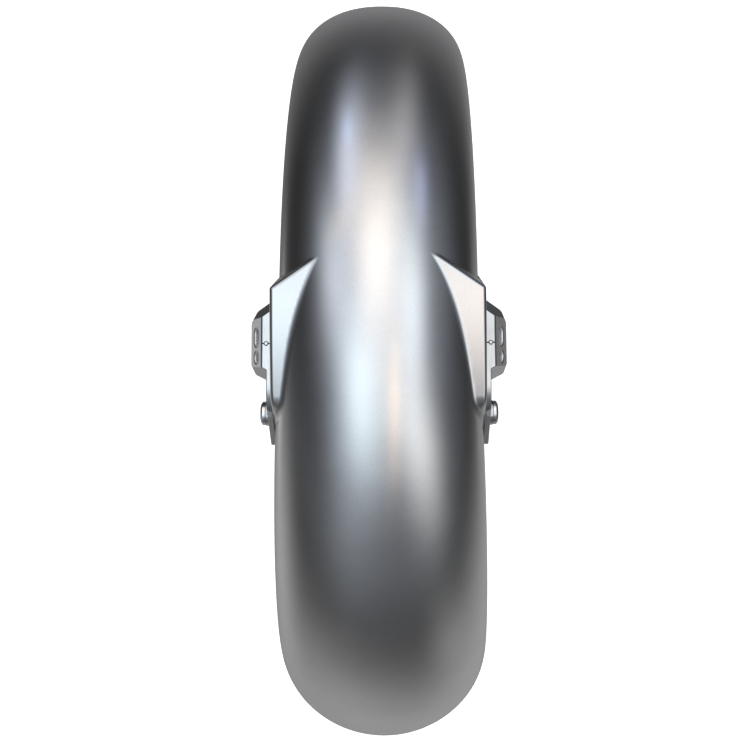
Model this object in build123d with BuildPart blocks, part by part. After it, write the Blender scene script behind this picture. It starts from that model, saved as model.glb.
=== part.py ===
from build123d import *
import os
from math import acos, asin, atan2, cos, degrees, hypot, radians, sin, sqrt, tan

# Front mudguard of a motorcycle: a pressed sheet-steel shell that follows the
# wheel, with a boxed shoulder on each side, and one milled fork bracket
# screwed to each shoulder wall.
# Frame: +X towards the rider's left, -Y forwards, +Z up along the wheel
# radius that passes through the brackets. The part stands on its two ends.

# ---------------------------------------------------------------- dimensions
CROWN_R = 345.0        # outer radius of the crown line about the wheel axle
SHEET = 1.5            # sheet thickness
ARC_END = 80.0         # the shell ends this many degrees before and behind +Z
SKIRT_DEPTH = 72.0     # radial depth from the crown line to the skirt edge
END_CORNER_R = 30.0    # rounded skirt corners at both ends

REAR_HALF = 74.07      # half width of the parallel rear part
REAR_ROUND = 55.5      # radial depth of its rounded crown
REAR_POWER = 2.19      # superellipse power of the rear section
FLARE_START = -2.4     # angle where the front flare begins
FLARE_SPAN = 77.4      # angle over which it grows by the amounts below
FLARE_HALF = 18.96
FLARE_ROUND = 27.3
FLARE_POWER = -0.225
FLARE_GROW = 0.84

SHELF_R = 440.0        # side-view radius of the shoulder's top shelf
SHELF_Y = 84.0         # highest line of the shelf
SHELF_TOP = 325.9      # its height above the axle, at SHELF_X
SHELF_X = 70.0
SHELF_LEAN = -0.03     # the shelf falls outwards by this slope
ROLL_Y = -18.0         # where the shelf starts to roll down to the front
ROLL_R = 16.0
FRONT_FALL = 55.0      # slope of the shoulder's front face, degrees
STEP_TOP = 326.3       # height of the point that places the rear step
WALL_X = 77.4          # shoulder wall at its rear corner
WALL_Y = 59.4
WALL_TOE = 0.75        # the wall opens forwards by this angle
STEP_RUN = (33.3, 22.6)  # plan direction of the shoulder's rear step
STEP_DRAFT = 9.0       # its lean
BEND_R = 2.8           # outer bend radius of the shoulder's edges

SLOT_ANGLE = -50.0     # tie slot in the left skirt
SLOT_RADIUS = 285.0
SLOT_LEN = 30.0
SLOT_WIDE = 6.0

# Bracket. Lengths along the wall (u), heights above the axle (v) and
# distances out from the wall (n) are all in the shoulder wall's own plane.
PLATE_T = 4.0          # base plate thickness
BOSS_ROOT = 7.4        # n of the sloped pad's upper edge
BOSS_OUT = 17.2        # n of the outermost face
BOSS_TOP = 305.5       # v of the top edge
BOSS_KNEE = 286.0      # v where the sloped pad meets the outer face
BOSS_LOW = 264.0       # v of the underside
NOSE_U = 3.0           # u of the boss's front end face on the pad's upper edge
NOSE_FACE = (0.433, -0.875, 0.2176)  # its direction (n, u, v), leaning back
ROOT_R = 2.0           # rounded upper edge of the pad
PLATE_BEND_U = -9.0    # u where the plate's top edge starts to curve down
PLATE_BEND_R = 30.0
PLATE_FALL = 50.0      # slope of the plate's front edge, degrees
TIP_R = 1.5            # rounded front tip of the plate
END_POINT = (2.3, 43.5)  # (n, u) of the rear end face on the top edge
END_DRAFT = 13.0       # lean of the rear end face
HOLE_R = 4.2           # round hole in the sloped pad
HOLE_U = 10.3
OVAL_U = 25.1          # slotted hole beside it
OVAL_LEN = 13.2
HOLE_DEPTH = 10.0
EDGE_R = 0.8           # broken edges

FRONT_SCREW = (-31.5, 279.0)   # (u, v) of the M8 screw, from outside
SEAT_R = 9.4                   # raised round seat under its head
SEAT_T = 6.4
REAR_SCREW = (32.0, 280.5)     # (u, v) of the M6 screw, from inside
PIN_U = 20.5                   # small locating pin in the bracket's top edge
PIN_N = 4.0
PIN_R = 1.3
PIN_RIM = 0.45                 # eased rim around the pin
PIN_DEPTH = 5.0
PIN_PROUD = 0.3
LINE_WIDE = 1.0                # scribed line across the top edge at the pin
LINE_DEEP = 0.5
HOLE_RIM = 1.5                 # rounded rims of the pad's holes
END_CORNER = 8.0               # rounded outer corner of the rear end
NOSE_R = 4.0                   # rounded outer edge of the boss's front end

HEAD_R = 8.95          # M8 front screw: broad low head
HEAD_H = 4.0
HEAD_RIM = 2.2         # straight rim of the head
FRONT_REACH = 11.6     # shank end behind the wall face
WASHER_T = 1.6
NUT_H = 6.5
REAR_SHANK_R = 3.0     # M6 rear screw: button head inside the shell
REAR_REACH = 10.5
FIT = 0.05             # radial clearance at threads and pins

# the lowest points of the shell are on its four rounded corners
_corner = CROWN_R - SKIRT_DEPTH + END_CORNER_R
_corner_angle = radians(ARC_END) - radians(degrees(atan2(END_CORNER_R, sqrt(_corner**2 - END_CORNER_R**2))))
AXLE_Z = -(_corner * cos(_corner_angle) - END_CORNER_R)

os.makedirs("parts", exist_ok=True)


# ------------------------------------------------------------ shell sections
def flare(angle):
    """0 on the parallel rear part, growing forwards, with a soft start."""
    t = (angle - FLARE_START) / FLARE_SPAN
    t = 0.5 * (t + sqrt(t * t + 0.03**2))
    return t**FLARE_GROW


def half_section(angle, inset, depth):
    """Points (x, radius) from the crown line down one side of the section."""
    u = flare(angle)
    a = REAR_HALF + FLARE_HALF * u
    b = REAR_ROUND + FLARE_ROUND * u
    n = REAR_POWER + FLARE_POWER * u
    k = 0.02 + 0.03 * min(u, 1.0)

    def at(s):
        if s <= 1.0:
            p = s * radians(90.0)
            return (a * sin(p) ** (2 / n), CROWN_R - b * (1 - max(cos(p), 0.0) ** (2 / n)))
        d = b + (s - 1.0) * (depth - b)
        return (a + k * (d - b), CROWN_R - d)

    points = [(0.0, CROWN_R - inset)]
    for s in (0.09, 0.18, 0.27, 0.36, 0.45, 0.54, 0.63, 0.72, 0.80, 0.88, 0.95, 1.25, 1.6, 2.0):
        x0, r0 = at(s - 0.004)
        x1, r1 = at(s + 0.004)
        tx, tr = x1 - x0, r1 - r0
        m = hypot(tx, tr)
        x, r = at(s)
        points.append((x + inset * tr / m, r - inset * tx / m))
    return points


def section_plane(angle):
    t = radians(angle)
    return Plane(origin=(0, 0, AXLE_Z), x_dir=(1, 0, 0), z_dir=(0, -cos(t), -sin(t)))


SECTION_ANGLES = (-86, -72, -56, -40, -24, -14, -7, -2, 3, 8, 14, 22, 32, 44, 58, 72, 86)


def wall_plane(inset=0.0):
    """Plane of the left shoulder wall: local x runs rearwards, local y up."""
    t = radians(WALL_TOE)
    return Plane(
        origin=(WALL_X + WALL_Y * sin(t) / cos(t) - inset / cos(t), 0, AXLE_Z),
        x_dir=(-sin(t), cos(t), 0),
        z_dir=(cos(t), sin(t), 0),
    )


def step_plane(inset=0.0):
    """Inclined rear face of the left shoulder."""
    m = hypot(*STEP_RUN)
    d = radians(STEP_DRAFT)
    n = Vector(STEP_RUN[1] / m * cos(d), STEP_RUN[0] / m * cos(d), sin(d))
    p = Vector(WALL_X, WALL_Y, AXLE_Z + STEP_TOP) - n * inset
    return Plane(origin=p, z_dir=n)


SHELF_PLANE = Plane(origin=(SHELF_X, 0, AXLE_Z), x_dir=(0, 1, 0), z_dir=(1, 0, SHELF_LEAN))


def shelf_points(inset, low):
    """Side view of the shoulder, from the rear: shelf arc, roll and front face."""
    r, roll = SHELF_R - inset, ROLL_R - inset
    centre = (SHELF_Y, SHELF_TOP - SHELF_R)
    start = asin((SHELF_Y - ROLL_Y) / SHELF_R)
    end = radians(FRONT_FALL)
    pivot = (centre[0] - (SHELF_R - ROLL_R) * sin(start), centre[1] + (SHELF_R - ROLL_R) * cos(start))

    def on_shelf(t):
        return (centre[0] - r * sin(t), centre[1] + r * cos(t))

    def on_roll(t):
        return (pivot[0] - roll * sin(t), pivot[1] + roll * cos(t))

    rear = asin((SHELF_Y - 120.0) / r)
    foot = on_roll(end)
    toe = (foot[0] - (foot[1] - low) / tan(end), low)
    return [on_shelf(rear), on_shelf((rear + start) / 2), on_shelf(start), on_roll((start + end) / 2), foot, toe]


# --------------------------------------------------------------------- shell
def shoulder(inset, bend):
    """Both boxed shoulders as filled forms."""
    low = 240.0
    p = shelf_points(inset, low)
    with BuildPart() as form:
        with BuildSketch(SHELF_PLANE):
            with BuildLine():
                ThreePointArc(p[0], p[1], p[2])
                ThreePointArc(p[2], p[3], p[4])
                Line(p[4], p[5])
                Line(p[5], (p[0][0], low))
                Line((p[0][0], low), p[0])
            make_face()
        extrude(amount=40, both=True)
        split(bisect_by=wall_plane(inset), keep=Keep.BOTTOM)
        split(bisect_by=step_plane(inset), keep=Keep.BOTTOM)
        wall = form.faces().sort_by(Axis.X)[-1]
        step = form.faces().filter_by(lambda f: abs(f.normal_at().dot(step_plane().z_dir)) > 0.999)[0]
        shelf = form.faces().filter_by(GeomType.CYLINDER).sort_by(Axis.Z)[-1]
        rim = wall.edges().sort_by(Axis.Z)[1:]
        rim += [e for e in step.edges() if e in shelf.edges()]
        fillet(rim, bend)
        mirror(about=Plane.YZ)
    return form.part


def crown(inset, depth):
    """Filled form of the shell without its shoulders."""
    with BuildPart() as form:
        for angle in SECTION_ANGLES:
            side = half_section(angle, inset, depth)
            with BuildSketch(section_plane(angle)):
                with BuildLine():
                    pts = [(-x, r) for x, r in reversed(side[1:])] + side
                    Spline(*pts)
                    Line(pts[-1], pts[0])
                make_face()
        loft()
    return form.part


outer_crown = crown(0.0, 95.0)
inner_crown = crown(SHEET, 100.0)
outer_shoulders = shoulder(0.0, BEND_R)
inner_shoulders = shoulder(SHEET, BEND_R - SHEET)

with BuildPart() as shell_space:
    add(inner_crown)
    add(inner_shoulders)

WALL = wall_plane()

with BuildPart() as wall_holes:
    with BuildSketch(WALL.offset(-10)):
        with Locations(FRONT_SCREW):
            Circle(4.5)
        with Locations(REAR_SCREW):
            Circle(3.3)
    extrude(amount=20)
    mirror(about=Plane.YZ)

with BuildPart() as mudguard_shell:
    add(outer_crown)
    add(outer_shoulders)
    add(shell_space.part, mode=Mode.SUBTRACT)
    # side-view outline: skirt edge, radial ends, rounded corners
    with BuildSketch(Plane.YZ):
        with BuildLine():
            edge = CenterArc((0, AXLE_Z), CROWN_R - SKIRT_DEPTH, 90 - ARC_END, 2 * ARC_END)
            brim = CenterArc((0, AXLE_Z), CROWN_R + 40, 90 - ARC_END, 2 * ARC_END)
            Line(edge @ 0, brim @ 0)
            Line(edge @ 1, brim @ 1)
        make_face()
        fillet(vertices().sort_by_distance((0, AXLE_Z, 0))[:2], END_CORNER_R)
    extrude(amount=150, both=True, mode=Mode.INTERSECT)
    add(wall_holes.part, mode=Mode.SUBTRACT)
    # tie slot along the left skirt
    t = radians(SLOT_ANGLE)
    with BuildSketch(Plane(
            origin=(REAR_HALF - 10, -SLOT_RADIUS * sin(t), AXLE_Z + SLOT_RADIUS * cos(t)),
            x_dir=(0, -cos(t), -sin(t)), z_dir=(1, 0, 0))):
        SlotOverall(SLOT_LEN, SLOT_WIDE)
    extrude(amount=20, mode=Mode.SUBTRACT)

mudguard_shell.part.label = "mudguard_shell"
export_step(mudguard_shell.part, "parts/mudguard_shell.step")


# ------------------------------------------------------------------ brackets
U, V, N = WALL.x_dir, Vector(0, 0, 1), WALL.z_dir


def across(u):
    """Plane across the wall at u, looking forwards: local x is n, local y is v."""
    return Plane(origin=WALL.origin + U * u, x_dir=N, z_dir=U * -1)


def above(v):
    """Level plane at height v: local x is u, local y is -n."""
    return Plane(origin=WALL.origin + V * v, x_dir=U, z_dir=V)


PAD_RUN = Vector(BOSS_OUT - BOSS_ROOT, BOSS_KNEE - BOSS_TOP, 0).normalized()
PAD_NORMAL = N * -PAD_RUN.Y + V * PAD_RUN.X
PAD = Plane(
    origin=WALL.origin + N * ((BOSS_ROOT + BOSS_OUT) / 2) + V * ((BOSS_TOP + BOSS_KNEE) / 2),
    x_dir=U, z_dir=PAD_NORMAL)

END_RUN = Vector(4.0, 5.5, 0).normalized()
END_NORMAL = (N * END_RUN.X + U * END_RUN.Y) * cos(radians(END_DRAFT)) + V * sin(radians(END_DRAFT))
END = Plane(origin=WALL.origin + N * END_POINT[0] + U * END_POINT[1] + V * BOSS_TOP, z_dir=END_NORMAL)

NOSE = Plane(
    origin=WALL.origin + N * BOSS_ROOT + U * NOSE_U + V * BOSS_TOP,
    z_dir=N * NOSE_FACE[0] + U * NOSE_FACE[1] + V * NOSE_FACE[2])


def place(e):
    """Middle of an edge as (n, u, v)."""
    c = e.center() - WALL.origin
    return c.dot(N), c.dot(U), c.dot(V)


def runs_smooth(e):
    """The two long lines where the pad's rounded upper edge begins and ends."""
    n, u, v = place(e)
    d = ROOT_R * tan(acos(PAD_RUN.X) / 2)
    return ((abs(n - BOSS_ROOT + d) < 0.06 and abs(v - BOSS_TOP) < 0.06)
            or (abs(n - BOSS_ROOT - d * PAD_RUN.X) < 0.06 and abs(v - BOSS_TOP - d * PAD_RUN.Y) < 0.06))


with BuildPart() as bracket_left:
    # boss with the sloped pad, cut off by its leaning front end
    with BuildSketch(across(56)):
        with BuildLine():
            Polyline((0, BOSS_LOW), (BOSS_OUT, BOSS_LOW), (BOSS_OUT, BOSS_KNEE),
                     (BOSS_ROOT, BOSS_TOP), (0, BOSS_TOP), close=True)
        make_face()
        fillet(vertices().sort_by_distance((BOSS_ROOT, BOSS_TOP, 0))[0], ROOT_R)
    extrude(amount=90)
    split(bisect_by=NOSE, keep=Keep.BOTTOM)
    # base plate against the shoulder wall, its front end drawn down to a tip
    f = radians(PLATE_FALL)
    bend_end = (PLATE_BEND_U - PLATE_BEND_R * sin(f), BOSS_TOP - PLATE_BEND_R * (1 - cos(f)))
    tip = (bend_end[0] - (bend_end[1] - BOSS_LOW) * cos(f) / sin(f), BOSS_LOW)
    with BuildSketch(WALL):
        with BuildLine():
            Line((56, BOSS_LOW), (56, BOSS_TOP))
            Line((56, BOSS_TOP), (PLATE_BEND_U, BOSS_TOP))
            RadiusArc((PLATE_BEND_U, BOSS_TOP), bend_end, -PLATE_BEND_R)
            Line(bend_end, tip)
            Line(tip, (56, BOSS_LOW))
        make_face()
        fillet(vertices().sort_by_distance((tip[0], tip[1], 0))[0], TIP_R)
    extrude(amount=PLATE_T)
    # leaning rear end
    split(bisect_by=END, keep=Keep.BOTTOM)
    # rounded nose and rear corner, then all edges off the wall face broken
    fillet(edges().filter_by(lambda e: abs(place(e)[0] - BOSS_OUT) < 0.01 and place(e)[1] < NOSE_U + 1
                             and place(e)[2] > BOSS_LOW + 2), NOSE_R)
    fillet(edges().filter_by(lambda e: abs((e.center() - END.origin).dot(END_NORMAL)) < 0.01
                             and abs(place(e)[0] - BOSS_OUT) < 0.01 and place(e)[2] > BOSS_LOW + 2), END_CORNER)
    fillet(edges().filter_by(lambda e: place(e)[0] > 0.2 and not runs_smooth(e)), EDGE_R)
    # raised seat for the front screw
    with BuildSketch(WALL):
        with Locations(FRONT_SCREW):
            Circle(SEAT_R)
    extrude(amount=SEAT_T)
    fillet(edges().filter_by(GeomType.CIRCLE).filter_by(
        lambda e: abs(e.radius - SEAT_R) < 0.01 and abs(place(e)[0] - SEAT_T) < 0.01), 0.7)
    # round hole and slotted hole, square to the sloped pad
    with BuildSketch(PAD):
        with Locations((HOLE_U, 0)):
            Circle(HOLE_R)
        with Locations((OVAL_U, 0)):
            SlotOverall(OVAL_LEN, 2 * HOLE_R)
    extrude(amount=-HOLE_DEPTH, mode=Mode.SUBTRACT)
    rims = faces().filter_by(
        lambda f: f.geom_type == GeomType.PLANE and abs(f.normal_at().dot(PAD_NORMAL)) > 0.9999
        and len(f.inner_wires()) > 0)[0]
    fillet([e for w in rims.inner_wires() for e in w.edges()], HOLE_RIM)
    # screw holes and the pin hole with its scribed line
    with BuildSketch(WALL):
        with Locations(FRONT_SCREW):
            Circle(4.2)
    extrude(amount=SEAT_T + 1, mode=Mode.SUBTRACT)
    with BuildSketch(WALL):
        with Locations(REAR_SCREW):
            Circle(REAR_SHANK_R + FIT)
    extrude(amount=REAR_REACH + 0.6, mode=Mode.SUBTRACT)
    with BuildSketch(above(BOSS_TOP)):
        with Locations((PIN_U, -PIN_N)):
            Circle(PIN_R + FIT)
    extrude(amount=-PIN_DEPTH, mode=Mode.SUBTRACT)
    chamfer(edges().filter_by(GeomType.CIRCLE).filter_by(lambda e: abs(e.radius - PIN_R - FIT) < 0.01)
            .sort_by(Axis.Z)[-1], PIN_RIM)
    with BuildSketch(WALL.offset(-1)):
        with BuildLine():
            Polyline((PIN_U - LINE_WIDE / 2, BOSS_TOP), (PIN_U, BOSS_TOP - LINE_DEEP), (PIN_U + LINE_WIDE / 2, BOSS_TOP),
                     (PIN_U + LINE_WIDE / 2, BOSS_TOP + 1), (PIN_U - LINE_WIDE / 2, BOSS_TOP + 1), close=True)
        make_face()
    extrude(amount=BOSS_ROOT + 2, mode=Mode.SUBTRACT)

bracket_left.part.label = "bracket_left"
export_step(bracket_left.part, "parts/bracket_left.step")

with BuildPart() as bracket_right:
    add(bracket_left.part)
    mirror(about=Plane.YZ, mode=Mode.REPLACE)

bracket_right.part.label = "bracket_right"
export_step(bracket_right.part, "parts/bracket_right.step")


# ----------------------------------------------------------------- fasteners
def through(place, n):
    """Plane on a screw's axis at distance n from the wall, facing outwards."""
    return Plane(origin=WALL.origin + U * place[0] + V * place[1] + N * n, x_dir=U, z_dir=N)


def along(place):
    """Plane through a screw's axis: local x is the radius, local y is n."""
    return Plane(origin=WALL.origin + U * place[0] + V * place[1], x_dir=U, z_dir=V * -1)


with BuildPart() as front_screws:
    with BuildSketch(along(FRONT_SCREW)):
        with BuildLine():
            top = SEAT_T + HEAD_H
            Polyline((0, -FRONT_REACH), (3.2, -FRONT_REACH), (4.0, -FRONT_REACH + 0.8), (4.0, SEAT_T),
                     (HEAD_R - 0.3, SEAT_T), (HEAD_R, SEAT_T + 0.3), (HEAD_R, SEAT_T + HEAD_RIM))
            ThreePointArc((HEAD_R, SEAT_T + HEAD_RIM), (HEAD_R - 1.15, top - 0.75), (HEAD_R - 3.6, top))
            Polyline((HEAD_R - 3.6, top), (0, top), (0, -FRONT_REACH))
        make_face()
    revolve(axis=Axis(along(FRONT_SCREW).origin, N))
    with BuildSketch(through(FRONT_SCREW, SEAT_T + HEAD_H)):
        RegularPolygon(2.5, 6, major_radius=False)
    extrude(amount=-2.4, mode=Mode.SUBTRACT)
    mirror(about=Plane.YZ)

front_screws.part.label = "front_screws"
export_step(front_screws.part, "parts/front_screws.step")

with BuildPart() as front_washers:
    with BuildSketch(through(FRONT_SCREW, -SHEET - WASHER_T)):
        Circle(7.5)
        Circle(4.2, mode=Mode.SUBTRACT)
    extrude(amount=WASHER_T)
    chamfer(edges().filter_by(GeomType.CIRCLE).filter_by(lambda e: e.radius > 7.4), 0.25)
    mirror(about=Plane.YZ)

front_washers.part.label = "front_washers"
export_step(front_washers.part, "parts/front_washers.step")

with BuildPart() as front_nuts:
    with BuildSketch(through(FRONT_SCREW, -SHEET - WASHER_T - NUT_H)):
        RegularPolygon(6.5, 6, major_radius=False)
    extrude(amount=NUT_H)
    # corners eased by a cone at both faces
    with BuildSketch(along(FRONT_SCREW)):
        low, high = -SHEET - WASHER_T - NUT_H, -SHEET - WASHER_T
        with BuildLine():
            Polyline((0, low), (6.6, low), (7.6, low + 0.6), (7.6, high - 0.6), (6.6, high), (0, high), close=True)
        make_face()
    revolve(axis=Axis(along(FRONT_SCREW).origin, N), mode=Mode.INTERSECT)
    with BuildSketch(through(FRONT_SCREW, 0)):
        Circle(4.0 + FIT)
    extrude(amount=-20, mode=Mode.SUBTRACT)
    mirror(about=Plane.YZ)

front_nuts.part.label = "front_nuts"
export_step(front_nuts.part, "parts/front_nuts.step")

with BuildPart() as rear_screws:
    with BuildSketch(along(REAR_SCREW)):
        with BuildLine():
            low = -SHEET - 3.3
            Polyline((0, REAR_REACH), (REAR_SHANK_R - 0.7, REAR_REACH), (REAR_SHANK_R, REAR_REACH - 0.7),
                     (REAR_SHANK_R, -SHEET), (5.25, -SHEET), (5.25, -SHEET - 0.5))
            ThreePointArc((5.25, -SHEET - 0.5), (4.35, -SHEET - 2.35), (2.9, low))
            Polyline((2.9, low), (0, low), (0, REAR_REACH))
        make_face()
    revolve(axis=Axis(along(REAR_SCREW).origin, N))
    with BuildSketch(through(REAR_SCREW, -SHEET - 3.3)):
        RegularPolygon(2.0, 6, major_radius=False)
    extrude(amount=2.0, mode=Mode.SUBTRACT)
    mirror(about=Plane.YZ)

rear_screws.part.label = "rear_screws"
export_step(rear_screws.part, "parts/rear_screws.step")

with BuildPart() as locating_pins:
    with BuildSketch(Plane(origin=WALL.origin + U * PIN_U + N * PIN_N + V * (BOSS_TOP - PIN_DEPTH), x_dir=U, z_dir=V)):
        Circle(PIN_R)
    extrude(amount=PIN_DEPTH + PIN_PROUD)
    fillet(edges().group_by(Axis.Z)[-1], 0.45)
    mirror(about=Plane.YZ)

locating_pins.part.label = "locating_pins"
export_step(locating_pins.part, "parts/locating_pins.step")
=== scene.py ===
import math

import bpy
import numpy as np
from mathutils import Matrix, Vector


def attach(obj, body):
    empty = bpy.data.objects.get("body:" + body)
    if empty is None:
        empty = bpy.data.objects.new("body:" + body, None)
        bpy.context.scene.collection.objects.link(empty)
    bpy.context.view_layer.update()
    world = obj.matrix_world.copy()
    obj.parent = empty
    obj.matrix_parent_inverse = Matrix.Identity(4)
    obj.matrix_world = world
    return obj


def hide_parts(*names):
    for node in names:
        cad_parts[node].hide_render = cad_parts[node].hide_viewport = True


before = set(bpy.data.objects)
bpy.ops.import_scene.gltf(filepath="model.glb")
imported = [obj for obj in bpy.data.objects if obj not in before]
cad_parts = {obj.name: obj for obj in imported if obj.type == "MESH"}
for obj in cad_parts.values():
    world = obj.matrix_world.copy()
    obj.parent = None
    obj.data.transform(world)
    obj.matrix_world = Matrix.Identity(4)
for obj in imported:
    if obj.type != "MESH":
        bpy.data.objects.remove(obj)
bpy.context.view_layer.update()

scene = bpy.context.scene

# ------------------------------------------------------------------ dimensions
# Millimetres, measured from the wheel axle, as in the CAD model.
MM = 0.001
CROWN_R = 345.0
SHEET = 1.5
ARC_END = 80.0
SKIRT_R = 273.0
END_CORNER_R = 30.0
REAR_HALF, REAR_ROUND, REAR_POWER = 74.07, 55.5, 2.19
FLARE_START, FLARE_SPAN, FLARE_GROW = -2.4, 77.4, 0.84
FLARE_HALF, FLARE_ROUND, FLARE_POWER = 18.96, 27.3, -0.225
SHELF_R, SHELF_Y, SHELF_TOP, SHELF_X, SHELF_LEAN = 440.0, 84.0, 325.9, 70.0, -0.03
ROLL_Y, ROLL_R, FRONT_FALL = -18.0, 16.0, math.radians(55.0)
WALL_X, WALL_Y, WALL_TOE = 77.4, 59.4, math.radians(0.75)
STEP_RUN, STEP_DRAFT, STEP_TOP = (33.3, 22.6), math.radians(9.0), 326.3
BEND_R = 2.8
UNEVEN = (0.9, -0.3)  # the pressed shelves stand slightly high on the left, low on the right
SLOT_ANGLE, SLOT_R, SLOT_LEN, SLOT_WIDE = math.radians(-50.0), 285.0, 30.0, 6.0
FRONT_HOLE = (-31.5, 279.0, 4.5)
REAR_HOLE = (32.0, 280.5, 3.3)
AXLE_Z = -51.9011
EDGE = SHEET / 2


# ------------------------------------------------------- the shell as a distance
def section(angle):
    t = (angle - FLARE_START) / FLARE_SPAN
    u = (0.5 * (t + np.sqrt(t * t + 0.03**2))) ** FLARE_GROW
    return (REAR_HALF + FLARE_HALF * u, REAR_ROUND + FLARE_ROUND * u,
            REAR_POWER + FLARE_POWER * u, 0.02 + 0.03 * np.minimum(u, 1.0))


def crown_distance(p):
    """Signed distance to the rounded crown and its skirts, without the shoulders."""
    x, y, z = p[..., 0], p[..., 1], p[..., 2]
    r = np.hypot(y, z)
    d = CROWN_R - r
    a, b, n, k = section(np.degrees(np.arctan2(-y, z)))
    below = 0.5 * ((d - b) + np.sqrt((d - b) ** 2 + 64.0))
    ax = np.maximum(np.abs(x) - k * below, 1e-6)
    q = np.maximum((b - d) / b, 1e-9)
    s = (ax / a) ** n + q**n
    g = s ** (1 / n) - 1
    gx = s ** (1 / n - 1) * (ax / a) ** (n - 1) / a
    gd = s ** (1 / n - 1) * q ** (n - 1) / b
    return g / np.hypot(gx, gd)


def smooth(low, high, v):
    t = np.clip((v - low) / (high - low), 0.0, 1.0)
    return t * t * (3 - 2 * t)


WALL_N = np.array([math.cos(WALL_TOE), math.sin(WALL_TOE), 0.0])
STEP_N = np.array([STEP_RUN[1], STEP_RUN[0], 0.0]) / math.hypot(*STEP_RUN) * math.cos(STEP_DRAFT)
STEP_N[2] = math.sin(STEP_DRAFT)
SIDE_TURN = float(WALL_N @ STEP_N)
ROLL_START = math.asin((SHELF_Y - ROLL_Y) / SHELF_R)
PIVOT = (SHELF_Y - (SHELF_R - ROLL_R) * math.sin(ROLL_START),
         SHELF_TOP - SHELF_R + (SHELF_R - ROLL_R) * math.cos(ROLL_START))


def shelf_distance(ax, y, z):
    """Shoulder's top: long shelf arc, roll at the front, then a falling face."""
    h = (z - SHELF_LEAN * (ax - SHELF_X)) / math.hypot(1.0, SHELF_LEAN)
    ahead, over = PIVOT[0] - y, h - PIVOT[1]
    past_shelf = ahead * math.cos(ROLL_START) - over * math.sin(ROLL_START)
    past_roll = ahead * math.cos(FRONT_FALL) - over * math.sin(FRONT_FALL)
    arc = np.hypot(y - SHELF_Y, h - SHELF_TOP + SHELF_R) - SHELF_R
    roll = np.hypot(ahead, over) - ROLL_R
    face = ahead * math.sin(FRONT_FALL) + over * math.cos(FRONT_FALL) - ROLL_R
    return np.where(past_shelf < 0, arc, np.where(past_roll < 0, roll, face))


def shell_distance(p):
    """Crown joined to the two boxed shoulders with soft pressed blends."""
    ax, y, z = np.abs(p[..., 0]), p[..., 1], p[..., 2]
    shelf = shelf_distance(ax, y, z - np.where(p[..., 0] > 0, UNEVEN[0], UNEVEN[1]))
    wall = WALL_N[0] * (ax - WALL_X) + WALL_N[1] * (y - WALL_Y)
    step = STEP_N[0] * (ax - WALL_X) + STEP_N[1] * (y - WALL_Y) + STEP_N[2] * (z - STEP_TOP)
    bend = BEND_R + 1.6 * smooth(12.0, 32.0, -y)
    w, s, t = wall + bend, step + bend, shelf + bend
    corner = np.sqrt(np.maximum(w * w + s * s - 2 * SIDE_TURN * w * s, 0.0) / (1 - SIDE_TURN**2))
    side = np.where((w > SIDE_TURN * s) & (s > SIDE_TURN * w), corner, np.maximum(w, s))
    box = np.minimum(np.maximum(t, side), 0.0) + np.hypot(np.maximum(t, 0.0), np.maximum(side, 0.0)) - bend
    box = np.maximum(box, 38.0 - ax)
    crown = crown_distance(p)
    front = smooth(14.0, 34.0, -y)
    inboard = smooth(1.0, 9.0, -wall) * (0.5 + smooth(4.0, 42.0, -step) * (1.3 - 0.6 * np.sign(p[..., 0])))
    k = 0.6 + (inboard * (1 - front) + 4.2 * smooth(-0.5, 3.0, -wall) * front) * smooth(36.0, 54.0, ax)
    h = np.clip(0.5 + 0.5 * (box - crown) / k, 0.0, 1.0)
    return box * (1 - h) + crown * h - k * h * (1 - h)


def normals_at(p):
    h = 0.04
    g = np.empty_like(p)
    for i in range(3):
        e = np.zeros(3)
        e[i] = h
        g[..., i] = shell_distance(p + e) - shell_distance(p - e)
    return g / np.linalg.norm(g, axis=-1, keepdims=True)


def solve(place, low, high):
    """Bisects place(t) for the surface; place maps t to points."""
    low, high = np.array(low, float), np.array(high, float)
    for _ in range(44):
        mid = 0.5 * (low + high)
        inside = shell_distance(place(mid)) < 0
        low = np.where(inside, mid, low)
        high = np.where(inside, high, mid)
    return place(0.5 * (low + high))


def side_point(y, z, side):
    """Point of the skirt or shoulder wall at this side-view place."""
    y, z = np.asarray(y, float), np.asarray(z, float)
    return solve(lambda t: np.stack([side * t, y, z], -1), np.full(y.shape, 20.0), np.full(y.shape, 130.0))


# -------------------------------------------------------------------- shell grid
def spaced(start, end, spacing):
    fine = np.linspace(start, end, 6001)
    rate = 1.0 / spacing(fine)
    total = np.concatenate([[0.0], np.cumsum(0.5 * (rate[1:] + rate[:-1]) * np.diff(fine))])
    return np.interp(np.linspace(0.0, total[-1], int(math.ceil(total[-1])) + 1), total, fine)


corner_c = SKIRT_R + END_CORNER_R
corner_angle = math.radians(ARC_END) - math.asin(END_CORNER_R / corner_c)
corner_r = END_CORNER_R - EDGE
turn = np.arange(7.5, 90.1, 7.5)
corner_steps = np.arcsin(corner_r * np.sin(np.radians(turn)) / corner_c)


def column_spacing(angle):
    """Millimetres along the crown between neighbouring columns."""
    along = -CROWN_R * angle
    fine = smooth(-104.0, -74.0, along) * (1 - smooth(92.0, 112.0, along))
    corner = smooth(48.0, 58.0, along) * (1 - smooth(82.0, 94.0, along))
    slot = np.exp(-((np.abs(along + CROWN_R * SLOT_ANGLE) / 28.0) ** 4))
    return (8.4 - 6.95 * fine - 0.75 * corner - 6.0 * slot) / CROWN_R


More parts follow.
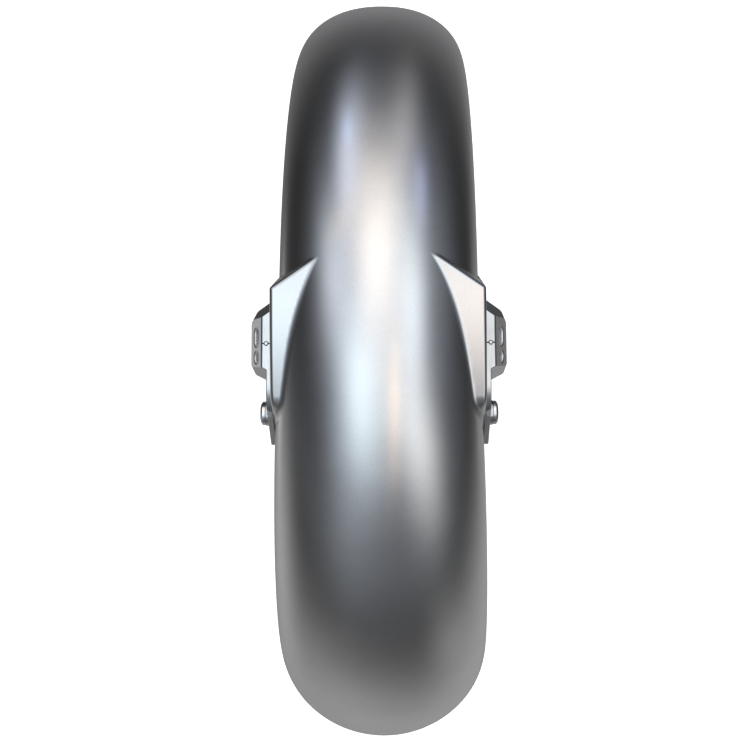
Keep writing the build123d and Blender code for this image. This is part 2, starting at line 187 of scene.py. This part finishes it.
middle = spaced(-corner_angle, corner_angle, column_spacing)
theta = np.concatenate([-corner_angle - corner_steps[::-1], middle, corner_angle + corner_steps])
edge_r = np.full(theta.shape, SKIRT_R + EDGE)
rise = corner_c * np.cos(corner_steps) - np.sqrt(np.maximum(corner_r**2 - (corner_c * np.sin(corner_steps)) ** 2, 0.0))
edge_r[: len(turn)] = rise[::-1]
edge_r[-len(turn):] = rise

edge_y, edge_z = -edge_r * np.sin(theta), edge_r * np.cos(theta)
edge_x = side_point(edge_y, edge_z, 1.0)[:, 0]
reach = np.arctan2(edge_x, edge_r - SKIRT_R)

# rows follow the shoulder's outer edge, so that none of them drifts across its bend
rim_y = np.linspace(66.0, -46.0, 225)
rim_x = WALL_X - math.tan(WALL_TOE) * (rim_y - WALL_Y)
under, over = np.full(rim_y.shape, 230.0), np.full(rim_y.shape, 345.0)
for _ in range(40):
    half_way = 0.5 * (under + over)
    within = shelf_distance(rim_x, rim_y, half_way) < 0
    under, over = np.where(within, half_way, under), np.where(within, over, half_way)
rim_at = np.arctan2(-rim_y, under)
rim_phi = np.arctan2(rim_x, np.hypot(rim_y, under) - SKIRT_R)
rim = np.interp(theta, rim_at, rim_phi) / reach
rim = np.where(theta < rim_at[0], np.interp(rim_at[0], theta, rim), rim)
rim = np.where(theta > rim_at[-1], np.interp(rim_at[-1], theta, rim), rim)
inner_rows = spaced(0.0, 1.0, lambda s: 0.058 - 0.039 * smooth(0.12, 0.42, s) - 0.0145 * smooth(0.93, 0.97, s))
outer_rows = spaced(0.0, 1.0, lambda s: 0.009 + 0.046 * smooth(0.03, 0.16, s))
rows = np.concatenate([rim[:, None] * inner_rows[None, :], rim[:, None] + (1 - rim[:, None]) * outer_rows[None, 1:]], 1)
rows = np.concatenate([-rows[:, :0:-1], rows], 1)

th = np.repeat(theta[:, None], rows.shape[1], 1)
phi = rows * reach[:, None]


def on_ray(t):
    r = SKIRT_R + t * np.cos(phi)
    return np.stack([t * np.sin(phi), -r * np.sin(th), r * np.cos(th)], -1)


grid = solve(on_ray, np.full(th.shape, 25.0), np.full(th.shape, 135.0))
nc, nr = th.shape
points = [grid.reshape(-1, 3)]
count = nc * nr
keep = np.ones((nc - 1, nr - 1), bool)
extra_faces = []


def outline(u):
    """Slot outline at fractions u of its length, as (along, across)."""
    r = SLOT_WIDE / 2 + EDGE
    straight = SLOT_LEN - SLOT_WIDE
    size = 2 * straight + 2 * math.pi * r
    s = (u * size) % size
    out = []
    for v in s:
        v = v - math.pi * r / 2
        if v < 0:
            out.append((straight / 2 + r * math.cos(v / r), r * math.sin(v / r)))
        elif v < straight:
            out.append((straight / 2 - v, r))
        elif v < straight + math.pi * r:
            a = (v - straight) / r
            out.append((-straight / 2 - r * math.sin(a), r * math.cos(a)))
        elif v < 2 * straight + math.pi * r:
            out.append((-straight / 2 + v - straight - math.pi * r, -r))
        else:
            a = (v - 2 * straight - math.pi * r) / r
            out.append((straight / 2 + r * math.sin(a), -r * math.cos(a)))
    return np.array(out)


def cut_hole(side, centre, half, shape, axis_angle):
    """Replaces a block of grid cells by rings that run in to a hole's outline."""
    global count
    ca, sa = math.cos(axis_angle), math.sin(axis_angle)
    local_y, local_z = grid[..., 1] - centre[0], grid[..., 2] - centre[1]
    along, across = local_y * ca + local_z * sa, -local_y * sa + local_z * ca
    right_side = grid[..., 0] * side > 40
    mid_i, mid_j = np.unravel_index(
        np.argmin(np.where(right_side, np.hypot(along, across), 1e9)), along.shape)
    cols = [i for i in range(nc) if abs(along[i, mid_j]) < half[0] and right_side[i, mid_j]]
    lines = [j for j in range(nr) if abs(across[mid_i, j]) < half[1] and right_side[mid_i, j]]
    i0, i1, j0, j1 = cols[0], cols[-1], lines[0], lines[-1]
    keep[i0:i1, j0:j1] = False
    loop = ([(i, j0) for i in range(i0, i1)] + [(i1, j) for j in range(j0, j1)]
            + [(i, j1) for i in range(i1, i0, -1)] + [(i0, j) for j in range(j1, j0, -1)])
    b = np.array([(along[i, j], across[i, j]) for i, j in loop])
    half_a, half_c = np.abs(b[:, 0]).max(), np.abs(b[:, 1]).max()
    turn_at = np.unwrap(np.arctan2(b[:, 1] / half_c, b[:, 0] / half_a))
    u = (turn_at / (2 * math.pi)) % 1.0
    s = shape(u)
    ring = [i * nr + j for i, j in loop]
    for w in (0.3, 0.55, 0.75, 0.9, 1.0):
        m = b * (1 - w) + s * w
        y = centre[0] + m[:, 0] * ca - m[:, 1] * sa
        z = centre[1] + m[:, 0] * sa + m[:, 1] * ca
        points.append(side_point(y, z, side))
        new = list(range(count, count + len(m)))
        count += len(m)
        for q in range(len(m)):
            q2 = (q + 1) % len(m)
            extra_faces.append((ring[q], ring[q2], new[q2], new[q]))
        ring = new


def circle(radius):
    r = radius + EDGE
    return lambda u: np.stack([r * np.cos(2 * math.pi * u), r * np.sin(2 * math.pi * u)], -1)


slot_at = (-SLOT_R * math.sin(SLOT_ANGLE), SLOT_R * math.cos(SLOT_ANGLE))
cut_hole(1.0, slot_at, (18.6, 8.6), outline, math.atan2(-math.sin(SLOT_ANGLE), -math.cos(SLOT_ANGLE)))
for hand in (1.0, -1.0):
    for along_wall, height, radius in (FRONT_HOLE, REAR_HOLE):
        cut_hole(hand, (along_wall * math.cos(WALL_TOE), height), (radius + 3.0, radius + 4.0), circle(radius), math.pi)

outer = np.concatenate(points)
outer_n = normals_at(outer)

ii, jj = np.nonzero(keep)
quads = np.stack([ii * nr + jj, (ii + 1) * nr + jj, (ii + 1) * nr + jj + 1, ii * nr + jj + 1], -1)
faces = [tuple(f) for f in quads.tolist()]
# ring faces wind the same way as the grid cells that they replace
faces += extra_faces

# drop grid points inside the cut blocks
used = np.zeros(len(outer), bool)
used[np.array([v for f in faces for v in f])] = True
number = np.cumsum(used) - 1
outer, outer_n = outer[used], outer_n[used]
faces = [tuple(int(number[v]) for v in f) for f in faces]
half_count = len(outer)

directed = {}
for f in faces:
    for q, a in enumerate(f):
        directed[(a, f[(q + 1) % len(f)])] = True
follow = {a: b for a, b in directed if (b, a) not in directed}

verts = [outer, outer - SHEET * outer_n]
normals = [outer_n, -outer_n]
faces += [tuple(v + half_count for v in f[::-1]) for f in faces]
total = 2 * half_count
left = dict(follow)
while left:
    start = next(iter(left))
    loop, v = [], start
    while v in left:
        loop.append(v)
        v = left.pop(v)
    loop = np.array(loop)
    p, n = outer[loop], outer_n[loop]
    t = np.roll(p, -1, 0) - np.roll(p, 1, 0)
    away = np.cross(t, n)
    away /= np.linalg.norm(away, axis=1)[:, None]
    middle_line = p - EDGE * n
    last = loop
    for a in np.radians([28.0, 52.0, 90.0, 128.0, 152.0]):
        c, s = math.copysign(abs(math.cos(a)) ** 0.7, math.cos(a)), math.sin(a) ** 0.7
        verts.append(middle_line + EDGE * (c * n + s * away))
        normals.append(math.cos(a) * n + math.sin(a) * away)
        ring = np.arange(total, total + len(loop))
        total += len(loop)
        for q in range(len(loop)):
            q2 = (q + 1) % len(loop)
            faces.append((int(last[q2]), int(last[q]), int(ring[q]), int(ring[q2])))
        last = ring
    ring = loop + half_count
    for q in range(len(loop)):
        q2 = (q + 1) % len(loop)
        faces.append((int(last[q2]), int(last[q]), int(ring[q]), int(ring[q2])))

verts = (np.concatenate(verts) + (0.0, 0.0, AXLE_Z)) * MM
normals = np.concatenate(normals)
mesh = bpy.data.meshes.new("shell")
mesh.from_pydata(verts.tolist(), [], faces)
mesh.polygons.foreach_set("use_smooth", np.ones(len(mesh.polygons), bool))
mesh.normals_split_custom_set_from_vertices(normals.tolist())
mesh.update()
shell = bpy.data.objects.new("shell", mesh)
scene.collection.objects.link(shell)
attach(shell, "root")
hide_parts("mudguard_shell")


# --------------------------------------------------------------------- materials
def new_material(name):
    m = bpy.data.materials.new(name)
    m.use_nodes = True
    m.node_tree.nodes.clear()
    return m, m.node_tree.nodes, m.node_tree.links


def node(nodes, kind, **sockets):
    n = nodes.new(kind)
    for key, value in sockets.items():
        n.inputs[key.replace("_", " ")].default_value = value
    return n


def ramp(nodes, stops):
    n = nodes.new("ShaderNodeValToRGB")
    e = n.color_ramp.elements
    while len(e) < len(stops):
        e.new(0.5)
    for el, (at, v) in zip(e, stops):
        el.position = at
        el.color = (v, v, v, 1.0) if isinstance(v, float) else (*v, 1.0)
    return n


# middle of the pad's round hole where it leaves the face, the pad's normal and its slope
PAD_HOLE = (0.090342, 0.010460, 0.243849)
PAD_OUT, PAD_UP = (0.893432, 0.011696, 0.449045), (-0.449045, 0.0, 0.893432)


def metal(name, light, dark, rough, grain_mm, stretch=(1.0, 1.0, 1.0), bump=0.1, cloud_mm=40.0, rear_painted_shade=None, bore_painted_light=None):
    """Bare metal: cloudy tone and gloss, fine grain that can run one way.

    rear_painted_shade is painted shade: a darker tone, with rougher gloss, on faces that look to the rear.
    bore_painted_light is painted light: a lighter tone on the walls of the pad's drilled holes; the drill left these
    walls rough, so they also get a rougher gloss.
    """
    m, nodes, links = new_material(name)
    out = nodes.new("ShaderNodeOutputMaterial")
    shader = node(nodes, "ShaderNodeBsdfPrincipled", Metallic=1.0)
    links.new(shader.outputs[0], out.inputs[0])
    coord = nodes.new("ShaderNodeTexCoord")
    stretched = nodes.new("ShaderNodeMapping")
    stretched.inputs["Scale"].default_value = stretch
    links.new(coord.outputs["Object"], stretched.inputs["Vector"])
    grain = node(nodes, "ShaderNodeTexNoise", Scale=1000.0 / grain_mm, Detail=3.0, Roughness=0.6)
    links.new(stretched.outputs[0], grain.inputs["Vector"])
    cloud = node(nodes, "ShaderNodeTexNoise", Scale=1000.0 / cloud_mm, Detail=4.0, Roughness=0.55)
    links.new(coord.outputs["Object"], cloud.inputs["Vector"])
    tone = ramp(nodes, [(0.3, dark), (0.7, light)])
    mixed = nodes.new("ShaderNodeMath")
    mixed.operation = "MULTIPLY_ADD"
    mixed.inputs[1].default_value = 0.45
    links.new(grain.outputs["Fac"], mixed.inputs[0])
    part = nodes.new("ShaderNodeMath")
    part.operation = "MULTIPLY"
    part.inputs[1].default_value = 0.55
    links.new(cloud.outputs["Fac"], part.inputs[0])
    links.new(part.outputs[0], mixed.inputs[2])
    links.new(mixed.outputs[0], tone.inputs["Fac"])

    def mixed_in(kind, where, first, second):
        mix = nodes.new("ShaderNodeMix")
        mix.data_type = kind
        at = 6 if kind == "RGBA" else 2
        links.new(where, mix.inputs[0])
        links.new(first, mix.inputs[at])
        mix.inputs[at + 1].default_value = second
        return mix.outputs[2 if kind == "RGBA" else 0]

    colour = tone.outputs["Color"]
    gloss = nodes.new("ShaderNodeMapRange")
    gloss.inputs["From Min"].default_value = 0.3
    gloss.inputs["From Max"].default_value = 0.7
    gloss.inputs["To Min"].default_value = rough[0]
    gloss.inputs["To Max"].default_value = rough[1]
    links.new(mixed.outputs[0], gloss.inputs["Value"])
    roughness = gloss.outputs[0]
    if rear_painted_shade is not None:
        # painted shade: faces that look to the rear are darkened and made rougher
        facing = nodes.new("ShaderNodeSeparateXYZ")
        links.new(coord.outputs["Normal"], facing.inputs[0])
        rear_shade_mask = nodes.new("ShaderNodeMapRange")
        rear_shade_mask.inputs["From Min"].default_value = 0.45
        rear_shade_mask.inputs["From Max"].default_value = 0.7
        links.new(facing.outputs["Y"], rear_shade_mask.inputs["Value"])
        colour = mixed_in("RGBA", rear_shade_mask.outputs[0], colour, (*rear_painted_shade, 1.0))
        roughness = mixed_in("FLOAT", rear_shade_mask.outputs[0], roughness, 0.34)
    if bore_painted_light is not None:
        # painted light: points between the pad's face and the bottom of its holes, on either side, get a lighter tone
        fold = nodes.new("ShaderNodeVectorMath")
        fold.operation = "ABSOLUTE"
        links.new(coord.outputs["Object"], fold.inputs[0])
        within = None
        for direction, low_mm, high_mm in ((PAD_OUT, -10.2, -0.4), (PAD_UP, -6.0, 6.0), ((0.0, 1.0, 0.0), -6.0, 23.4)):
            dot = nodes.new("ShaderNodeVectorMath")
            dot.operation = "DOT_PRODUCT"
            links.new(fold.outputs[0], dot.inputs[0])
            dot.inputs[1].default_value = direction
            centre = sum(a * b for a, b in zip(direction, PAD_HOLE))
            inside = nodes.new("ShaderNodeMath")
            inside.operation = "COMPARE"
            links.new(dot.outputs["Value"], inside.inputs[0])
            inside.inputs[1].default_value = centre + 0.5 * MM * (low_mm + high_mm)
            inside.inputs[2].default_value = 0.5 * MM * (high_mm - low_mm)
            if within is None:
                within = inside.outputs[0]
            else:
                both_in = nodes.new("ShaderNodeMath")
                both_in.operation = "MULTIPLY"
                links.new(within, both_in.inputs[0])
                links.new(inside.outputs[0], both_in.inputs[1])
                within = both_in.outputs[0]
        # painted light: the hole walls get a lighter tone than the rest of the bracket
        colour = mixed_in("RGBA", within, colour, (*bore_painted_light, 1.0))
        roughness = mixed_in("FLOAT", within, roughness, 0.55)
    links.new(colour, shader.inputs["Base Color"])
    links.new(roughness, shader.inputs["Roughness"])
    relief = node(nodes, "ShaderNodeBump", Strength=bump, Distance=0.0001)
    links.new(grain.outputs["Fac"], relief.inputs["Height"])
    links.new(relief.outputs[0], shader.inputs["Normal"])
    return m


shell_metal = metal("satin_steel", (0.61, 0.61, 0.615), (0.53, 0.53, 0.535), (0.13, 0.17), 1.1, bump=0.03)
# the bracket's faces that look to the rear get painted shade, and its hole walls painted light
bracket_metal = metal("milled_aluminium", (0.60, 0.605, 0.615), (0.42, 0.425, 0.435), (0.10, 0.15), 3.0, (4.0, 0.25, 4.0),
                      bump=0.05, rear_painted_shade=(0.045, 0.047, 0.056), bore_painted_light=(0.80, 0.81, 0.82))
screw_metal = metal("bright_plated_steel", (0.68, 0.68, 0.69), (0.58, 0.58, 0.59), (0.06, 0.10), 1.2, bump=0.02)
pin_metal = metal("turned_steel", (0.60, 0.60, 0.61), (0.50, 0.50, 0.51), (0.12, 0.18), 0.8, bump=0.04)

shell.data.materials.append(shell_metal)
for name, m in (("bracket_left", bracket_metal), ("bracket_right", bracket_metal), ("front_screws", screw_metal),
                ("front_washers", screw_metal), ("front_nuts", screw_metal), ("rear_screws", screw_metal),
                ("locating_pins", pin_metal)):
    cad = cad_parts[name]
    if not cad.material_slots:
        cad.data.materials.append(m)
    for slot in cad.material_slots:
        slot.material = m

# ------------------------------------------------------------------------ camera
view_turn, view_roll, view_far = math.radians(0.724), math.radians(-0.296), 1.150
cam_data = bpy.data.cameras.new("camera")
cam_data.sensor_width = 36.0
cam_data.lens = 36.0 * 1159.67 / 750.0
cam_data.shift_x = -8.78 / 750.0
cam_data.shift_y = -4.0 / 750.0
cam_data.dof.use_dof = False
camera = bpy.data.objects.new("camera", cam_data)
scene.collection.objects.link(camera)
eye = Vector((math.sin(view_turn), 0.0, math.cos(view_turn)))
right, up = Vector((math.cos(view_turn), 0.0, -math.sin(view_turn))), Vector((0.0, 1.0, 0.0))
rolled_right = right * math.cos(view_roll) + up * math.sin(view_roll)
rolled_up = up * math.cos(view_roll) - right * math.sin(view_roll)
turn_to = Matrix((rolled_right, rolled_up, eye)).transposed().to_4x4()
camera.matrix_world = Matrix.Translation(eye * view_far + Vector((0.0, 0.0, AXLE_Z * MM))) @ turn_to
scene.camera = camera


# ------------------------------------------------------------------------- stage
def plane(name, size, z):
    m = bpy.data.meshes.new(name)
    s = size / 2
    m.from_pydata([(-s, -s, z), (s, -s, z), (s, s, z), (-s, s, z)], [], [(0, 1, 2, 3)])
    o = bpy.data.objects.new(name, m)
    scene.collection.objects.link(o)
    return o


floor = plane("floor", 30.0, -0.0005)
m, nodes, links = new_material("pale_floor")
out = nodes.new("ShaderNodeOutputMaterial")
glow = node(nodes, "ShaderNodeEmission", Color=(1.0, 1.0, 1.0, 1.0), Strength=0.86)
soft = node(nodes, "ShaderNodeBsdfDiffuse", Color=(0.9, 0.9, 0.9, 1.0))
both = nodes.new("ShaderNodeAddShader")
links.new(glow.outputs[0], both.inputs[0])
links.new(soft.outputs[0], both.inputs[1])
links.new(both.outputs[0], out.inputs[0])
floor.data.materials.append(m)
floor.visible_glossy = floor.visible_diffuse = floor.visible_transmission = floor.visible_shadow = False

backdrop_mesh = bpy.data.meshes.new("backdrop")
ring_steps, lift = 64, 8
bv, bf = [], []
for q in range(lift + 1):
    e = math.radians(90.0 * q / lift)
    for w in range(ring_steps):
        a = 2 * math.pi * w / ring_steps
        bv.append((9.0 * math.cos(e) * math.cos(a), 9.0 * math.cos(e) * math.sin(a), 9.0 * math.sin(e) - 0.01))
for q in range(lift):
    for w in range(ring_steps):
        w2 = (w + 1) % ring_steps
        bf.append((q * ring_steps + w, q * ring_steps + w2, (q + 1) * ring_steps + w2, (q + 1) * ring_steps + w))
backdrop_mesh.from_pydata(bv, [], bf)
backdrop = bpy.data.objects.new("backdrop", backdrop_mesh)
scene.collection.objects.link(backdrop)
m, nodes, links = new_material("pale_backdrop")
out = nodes.new("ShaderNodeOutputMaterial")
glow = node(nodes, "ShaderNodeEmission", Color=(1.0, 1.0, 1.0, 1.0), Strength=1.0)
links.new(glow.outputs[0], out.inputs[0])
backdrop.data.materials.append(m)
backdrop.visible_glossy = backdrop.visible_diffuse = backdrop.visible_transmission = backdrop.visible_shadow = False

# ------------------------------------------------------------------------ lights
# Soft studio lights far away, all round the part. Each one has a compass angle
# (from +X towards +Y), an angle from straight up, a spread across and along, a
# turn, a colour and a strength. The last ones are the pale floor's bounce.
LIGHTS = [
    ("overhead_cool", 216, 14, 10.1, 15.9, 13, (0.84, 0.99, 1.00), 0.93),
    ("overhead_warm", 315, 14, 3.5, 13.6, -2, (1.00, 0.62, 0.38), 0.56),
    ("overhead_amber", 332, 10, 4.0, 7.7, 0, (1.00, 0.66, 0.20), 0.17),
    ("rear_strip", 93, 37, 9.8, 20.7, 3, (1.00, 0.90, 0.78), 1.34),
    ("right_cool", 39, 31, 9.6, 17.4, 6, (0.89, 0.98, 1.00), 1.15),
    ("rear_left_blue", 110, 69, 6.7, 17.0, -9, (0.80, 0.85, 1.00), 0.90),
    ("rear_left_glint", 108, 78, 2.2, 3.6, 0, (0.30, 0.55, 1.00), 0.52),
    ("rear_right_blue", 58, 63, 4.6, 7.2, 7, (0.57, 0.64, 1.00), 0.54),
    ("rear_left_amber", 123, 52, 7.7, 3.5, 0, (1.00, 0.62, 0.10), 0.20),
    ("left_grey", 143, 45, 9.7, 14.6, 20, (0.85, 0.92, 1.00), 0.74),
    ("front_right", 327, 35, 11.0, 19.3, 43, (1.00, 1.00, 0.98), 0.98),
    ("front_left", 208, 20, 14.7, 27.8, -11, (0.78, 0.88, 1.00), 0.54),
    ("ceiling", 75, 24, 38.2, 42.9, 49, (0.81, 0.87, 1.00), 0.53),
    ("rear_high", 76, 73, 6.8, 19.6, -2, (1.00, 0.96, 0.96), 0.36),
    ("front_low", 270, 59, 56.1, 15.9, -2, (0.87, 0.92, 1.00), 0.13),
    ("front_right_low", 307, 105, 7.7, 14.9, 0, (1.00, 0.99, 0.96), 0.12),
    ("floor_front", 257, 127, 27.2, 23.8, -14, (1.00, 0.99, 1.00), 0.40),
    ("floor_rear", 90, 142, 26.6, 17.6, -10, (0.97, 0.97, 1.00), 0.20),
    ("floor_left", 197, 132, 22.3, 13.5, -17, (0.99, 0.99, 1.00), 0.39),
    ("floor_right", 332, 144, 18.7, 30.0, -35, (1.00, 1.00, 1.00), 0.32),
    ("card_left", 178, 133, 6.0, 6.0, 0, (0.99, 0.98, 1.00), 0.38),
    ("card_right", 2, 133, 6.0, 6.0, 0, (1.00, 1.00, 1.00), 0.12),
]
AMBIENT = 0.034

world = bpy.data.worlds.new("studio")
world.use_nodes = True
nodes, links = world.node_tree.nodes, world.node_tree.links
nodes.clear()


def value(operation, first, second, third=None):
    n = nodes.new("ShaderNodeMath")
    n.operation = operation
    for i, v in enumerate((first, second, third)):
        if isinstance(v, (int, float)):
            n.inputs[i].default_value = v
        elif v is not None:
            links.new(v, n.inputs[i])
    return n.outputs[0]


def towards(direction):
    n = nodes.new("ShaderNodeVectorMath")
    n.operation = "DOT_PRODUCT"
    links.new(sky.outputs["Generated"], n.inputs[0])
    n.inputs[1].default_value = direction
    return n.outputs["Value"]


sky = nodes.new("ShaderNodeTexCoord")
glow_sum = None
for name, compass, height, across, along, turned, colour, strength in LIGHTS:
    a, e, t = math.radians(compass), math.radians(height), math.radians(turned)
    middle_dir = Vector((math.sin(e) * math.cos(a), math.sin(e) * math.sin(a), math.cos(e)))
    side_dir = (Vector((1, 0, 0)) - middle_dir * middle_dir.x).normalized()
    up_dir = middle_dir.cross(side_dir)
    first = (side_dir * math.cos(t) + up_dir * math.sin(t)) / (math.sqrt(2.0) * math.tan(math.radians(across) / 2))
    second = (up_dir * math.cos(t) - side_dir * math.sin(t)) / (math.sqrt(2.0) * math.tan(math.radians(along) / 2))
    near = value("ADD", towards(middle_dir), 1.0001)
    p = value("DIVIDE", towards(first), near)
    q = value("DIVIDE", towards(second), near)
    fall = value("MULTIPLY_ADD", q, q, value("MULTIPLY", p, p))
    lit = nodes.new("ShaderNodeVectorMath")
    lit.name = lit.label = name
    lit.operation = "SCALE"
    lit.inputs[0].default_value = [c * strength for c in colour]
    links.new(value("POWER", 1 / math.e, fall), lit.inputs["Scale"])
    total_node = nodes.new("ShaderNodeVectorMath")
    total_node.operation = "ADD"
    links.new(lit.outputs[0], total_node.inputs[0])
    if glow_sum is None:
        total_node.inputs[1].default_value = (AMBIENT, AMBIENT, AMBIENT)
    else:
        links.new(glow_sum, total_node.inputs[1])
    glow_sum = total_node.outputs[0]
back = node(nodes, "ShaderNodeBackground", Strength=1.0)
links.new(glow_sum, back.inputs["Color"])
out = nodes.new("ShaderNodeOutputWorld")
links.new(back.outputs[0], out.inputs[0])
scene.world = world
world.cycles.sampling_method = "NONE"
scene.view_settings.view_transform = "Standard"
scene.view_settings.look = "None"

bpy.context.view_layer.update()
